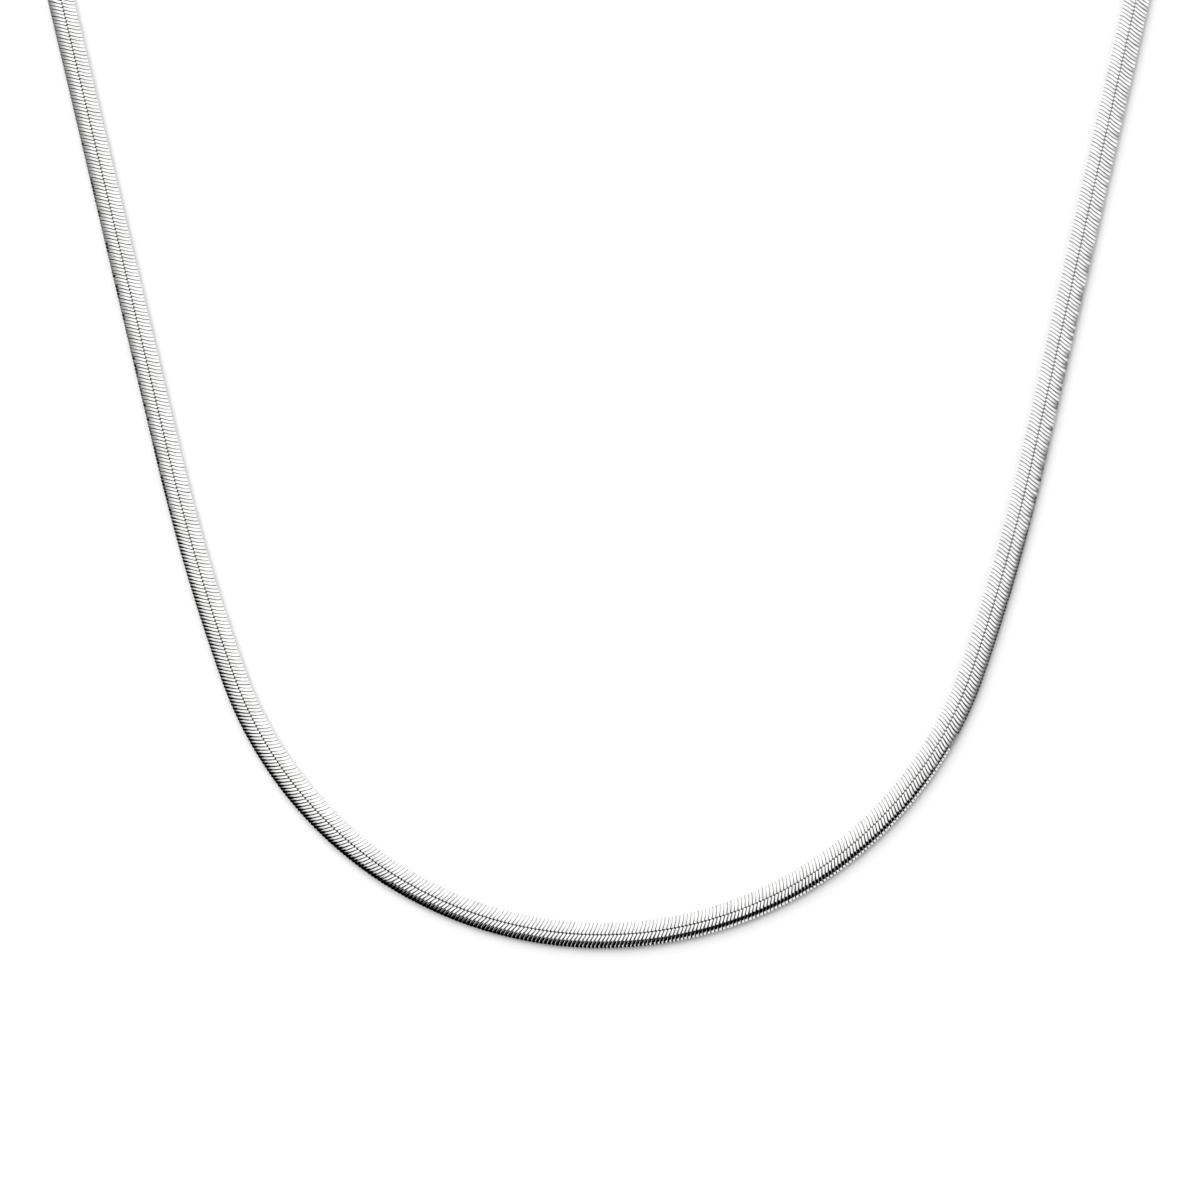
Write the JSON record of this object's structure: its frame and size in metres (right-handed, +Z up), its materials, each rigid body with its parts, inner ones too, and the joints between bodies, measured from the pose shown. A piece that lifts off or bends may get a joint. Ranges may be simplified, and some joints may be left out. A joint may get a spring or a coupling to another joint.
{
  "type": "flat snake chain necklace",
  "caption": "Clasped neck chain of polished silver, a flat woven snake band in two rows of slanting slats, with end caps, rings and a plain claw clasp, lying flat.",
  "frame": {"origin": "on the surface, under the middle of the whole necklace's box", "axes": "+X across the necklace, +Y from the front bend to the clasp, +Z up from the surface that it lies on"},
  "size_m": [0.1302, 0.1892, 0.004],
  "materials": {
    "woven_silver": "polished slats, dark in the gaps",
    "plain_silver": "polished"
  },
  "bodies": {
    "root": {"snake_chain": "woven_silver", "left_end_cap": "plain_silver", "right_end_cap": "plain_silver", "clasp_ring": "plain_silver", "catch_ring": "plain_silver", "clasp": "plain_silver"}
  },
  "joints": []
}
